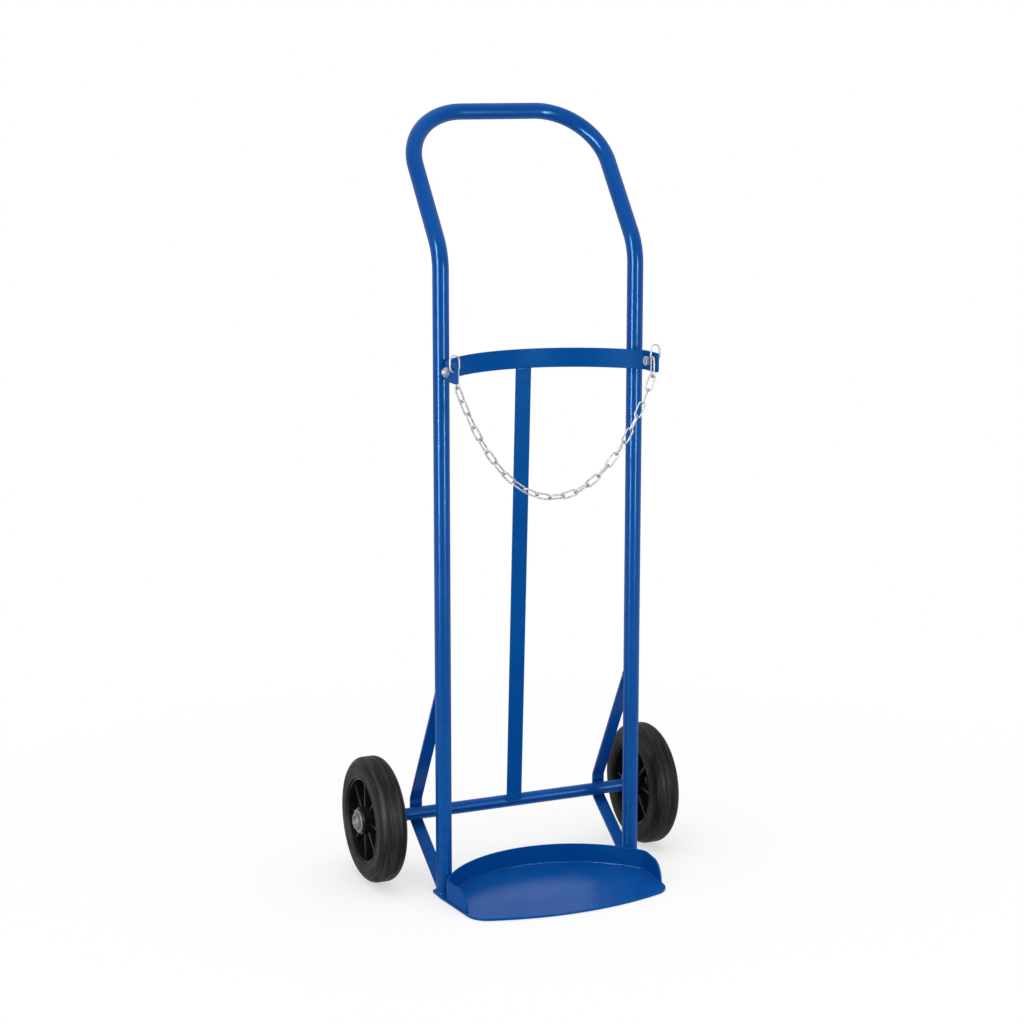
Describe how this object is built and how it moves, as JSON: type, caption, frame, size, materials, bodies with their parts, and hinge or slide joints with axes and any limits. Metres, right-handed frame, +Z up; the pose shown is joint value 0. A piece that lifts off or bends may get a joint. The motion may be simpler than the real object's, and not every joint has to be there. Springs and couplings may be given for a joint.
{
  "type": "gas cylinder trolley",
  "caption": "Two-wheeled hand trolley for a gas cylinder: bent tube hoop with leaning handle, dished foot plate, bowed cradle bar, securing chain and solid-tyred wheels on a fixed axle.",
  "frame": {"origin": "floor level on the foot plate's underside, midway between the two uprights", "axes": "+Z up, -Y towards the front edge of the foot plate, +X to the right seen from the front"},
  "size_m": [0.5418, 0.3695, 1.2166],
  "materials": {
    "blue_paint": "glossy powder coat",
    "tyre_rubber": "matt moulded",
    "rim_plastic": "satin moulded",
    "zinc_steel": "zinc plated"
  },
  "bodies": {
    "frame": {"frame_tube": "blue_paint", "foot_plate": "blue_paint", "foot_rim": "blue_paint", "cradle_bar": "blue_paint", "centre_strut": "blue_paint", "axle": "blue_paint", "brace_left": "blue_paint", "brace_right": "blue_paint", "end_link_left": "zinc_steel", "end_link_right": "zinc_steel", "axle_caps": "zinc_steel", "ear_bolt_left": "zinc_steel", "ear_bolt_right": "zinc_steel", "ear_nut_left": "zinc_steel", "ear_nut_right": "zinc_steel"},
    "wheel_left": {"tyre_left": "tyre_rubber", "wheel_rim_left": "rim_plastic"},
    "wheel_right": {"tyre_right": "tyre_rubber", "wheel_rim_right": "rim_plastic"},
    "chain": {"chain_links_flat": "zinc_steel", "chain_links_upright": "zinc_steel"}
  },
  "joints": [
    {"name": "wheel_left_spin", "type": "hinge", "parent": "frame", "child": "wheel_left", "pos_m": [-0.238, 0.106, 0.1], "axis": [1, 0, 0], "continuous": true},
    {"name": "wheel_right_spin", "type": "hinge", "parent": "frame", "child": "wheel_right", "pos_m": [0.238, 0.106, 0.1], "axis": [1, 0, 0], "continuous": true},
    {"name": "chain_swing", "type": "hinge", "parent": "frame", "child": "chain", "pos_m": [0, -0.063, 0.832], "axis": [-1, 0, 0], "range_deg": [-25, 90]}
  ]
}
